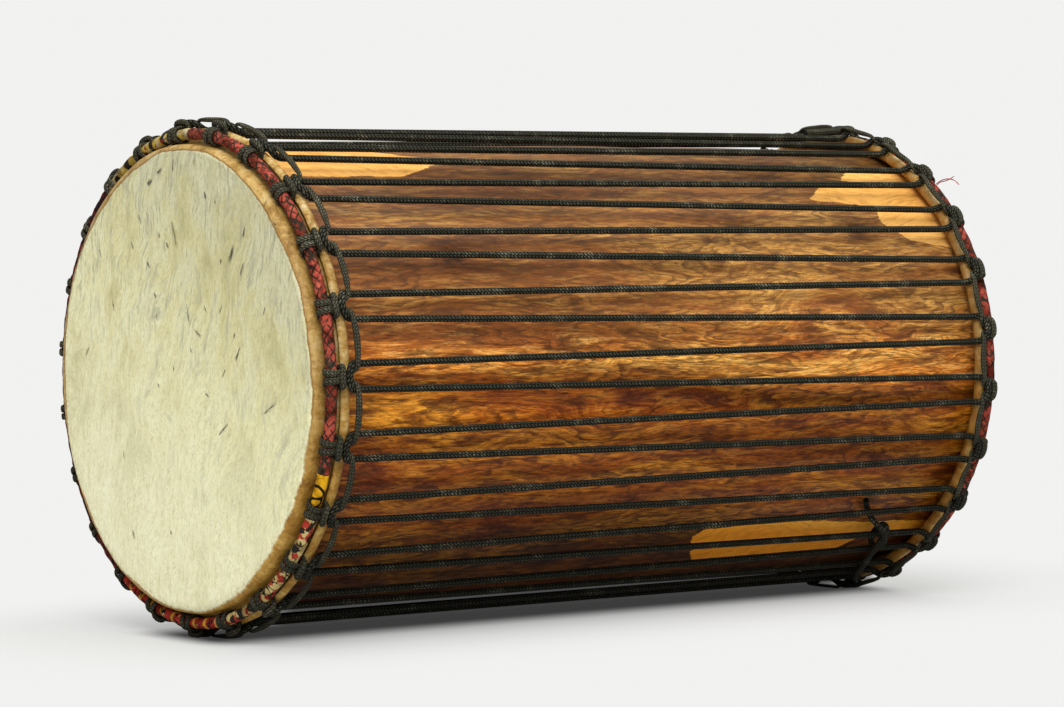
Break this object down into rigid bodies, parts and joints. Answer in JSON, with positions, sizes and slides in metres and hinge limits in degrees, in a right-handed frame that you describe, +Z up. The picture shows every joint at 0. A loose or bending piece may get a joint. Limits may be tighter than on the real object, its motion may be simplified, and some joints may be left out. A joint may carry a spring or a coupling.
{
  "type": "dunun",
  "caption": "West African bass drum: a carved hardwood cylinder with a hide at each end, held by ringed heads, looped cradle cords and a zigzag tension rope.",
  "frame": {"origin": "on the floor, under the middle of the drum as it lies on its side", "axes": "+X along the shell from the front head to the rear head, +Z up"},
  "size_m": [0.697, 0.4082, 0.4121],
  "materials": {
    "hardwood": "oiled, satin",
    "hide": "dry rawhide, matt",
    "ring_steel": "bare steel rod, hidden by its cover",
    "rope": "braided, matt",
    "cradle_cord": "braided, matt",
    "cloth_red_lattice": "printed cotton, matt",
    "cloth_yellow": "printed cotton, matt",
    "cloth_cream_motif": "printed cotton, matt",
    "cloth_red_yellow": "printed cotton, matt",
    "cloth_dark_red": "printed cotton, matt",
    "cloth_bands": "printed cotton, matt",
    "cloth_russet": "printed cotton, matt"
  },
  "bodies": {
    "root": {"shell": "hardwood", "front_skin": "hide", "front_flesh_ring": "ring_steel", "front_crown_ring": "ring_steel", "front_ring_cloth_1": "cloth_russet", "front_ring_cloth_2": "cloth_red_lattice", "front_ring_cloth_3": "cloth_yellow", "front_ring_cloth_4": "cloth_cream_motif", "front_ring_cloth_5": "cloth_red_yellow", "front_ring_cloth_6": "cloth_dark_red", "front_ring_cloth_7": "cloth_bands", "front_cradle_cord": "cradle_cord", "rear_skin": "hide", "rear_flesh_ring": "ring_steel", "rear_crown_ring": "ring_steel", "rear_ring_cloth_1": "cloth_red_lattice", "rear_ring_cloth_2": "cloth_dark_red", "rear_ring_cloth_3": "cloth_red_yellow", "rear_ring_cloth_4": "cloth_cream_motif", "rear_cradle_cord": "cradle_cord", "tension_rope": "rope", "rope_tail": "rope", "cradle_cord_end": "cradle_cord"}
  },
  "joints": []
}
